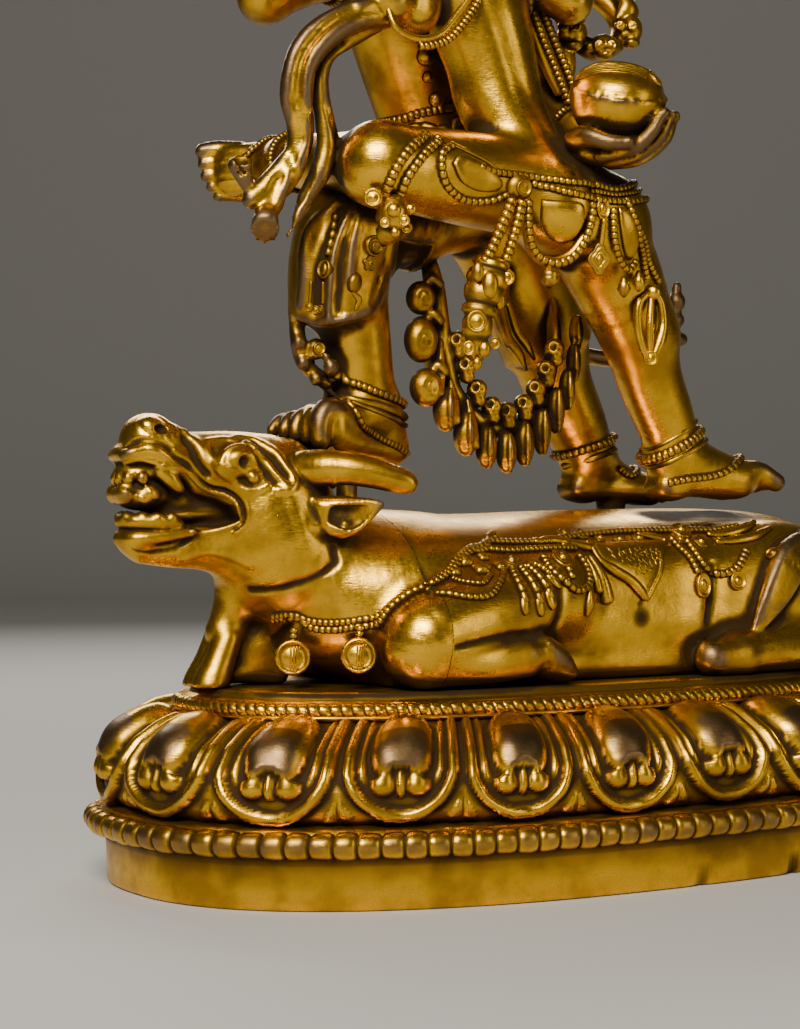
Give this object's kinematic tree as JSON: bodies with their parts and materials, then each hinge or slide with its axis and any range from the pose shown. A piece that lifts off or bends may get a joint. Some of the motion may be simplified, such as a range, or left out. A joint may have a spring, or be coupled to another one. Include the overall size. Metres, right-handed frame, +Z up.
{
  "type": "gilt bronze deity and consort on buffalo with lotus base",
  "caption": "Gilt bronze embracing deity and consort standing on a lying buffalo, on an oval lotus base with petals and beaded rims.",
  "frame": {"origin": "middle of the base's flat underside", "axes": "+X along the base from the buffalo's head to its rump, +Y to the side the deity stands on, +Z up"},
  "size_m": [0.2728, 0.155, 0.3418],
  "materials": {
    "gilt_bright": "fire-gilt bronze, bright on the swells, brown in the recesses",
    "gilt_worn": "fire-gilt bronze, rubbed and redder where handled, dark in the recesses"
  },
  "bodies": {
    "root": {"lotus_base": "gilt_bright", "buffalo": "gilt_bright", "raktayamari": "gilt_worn", "consort": "gilt_worn"}
  },
  "joints": []
}
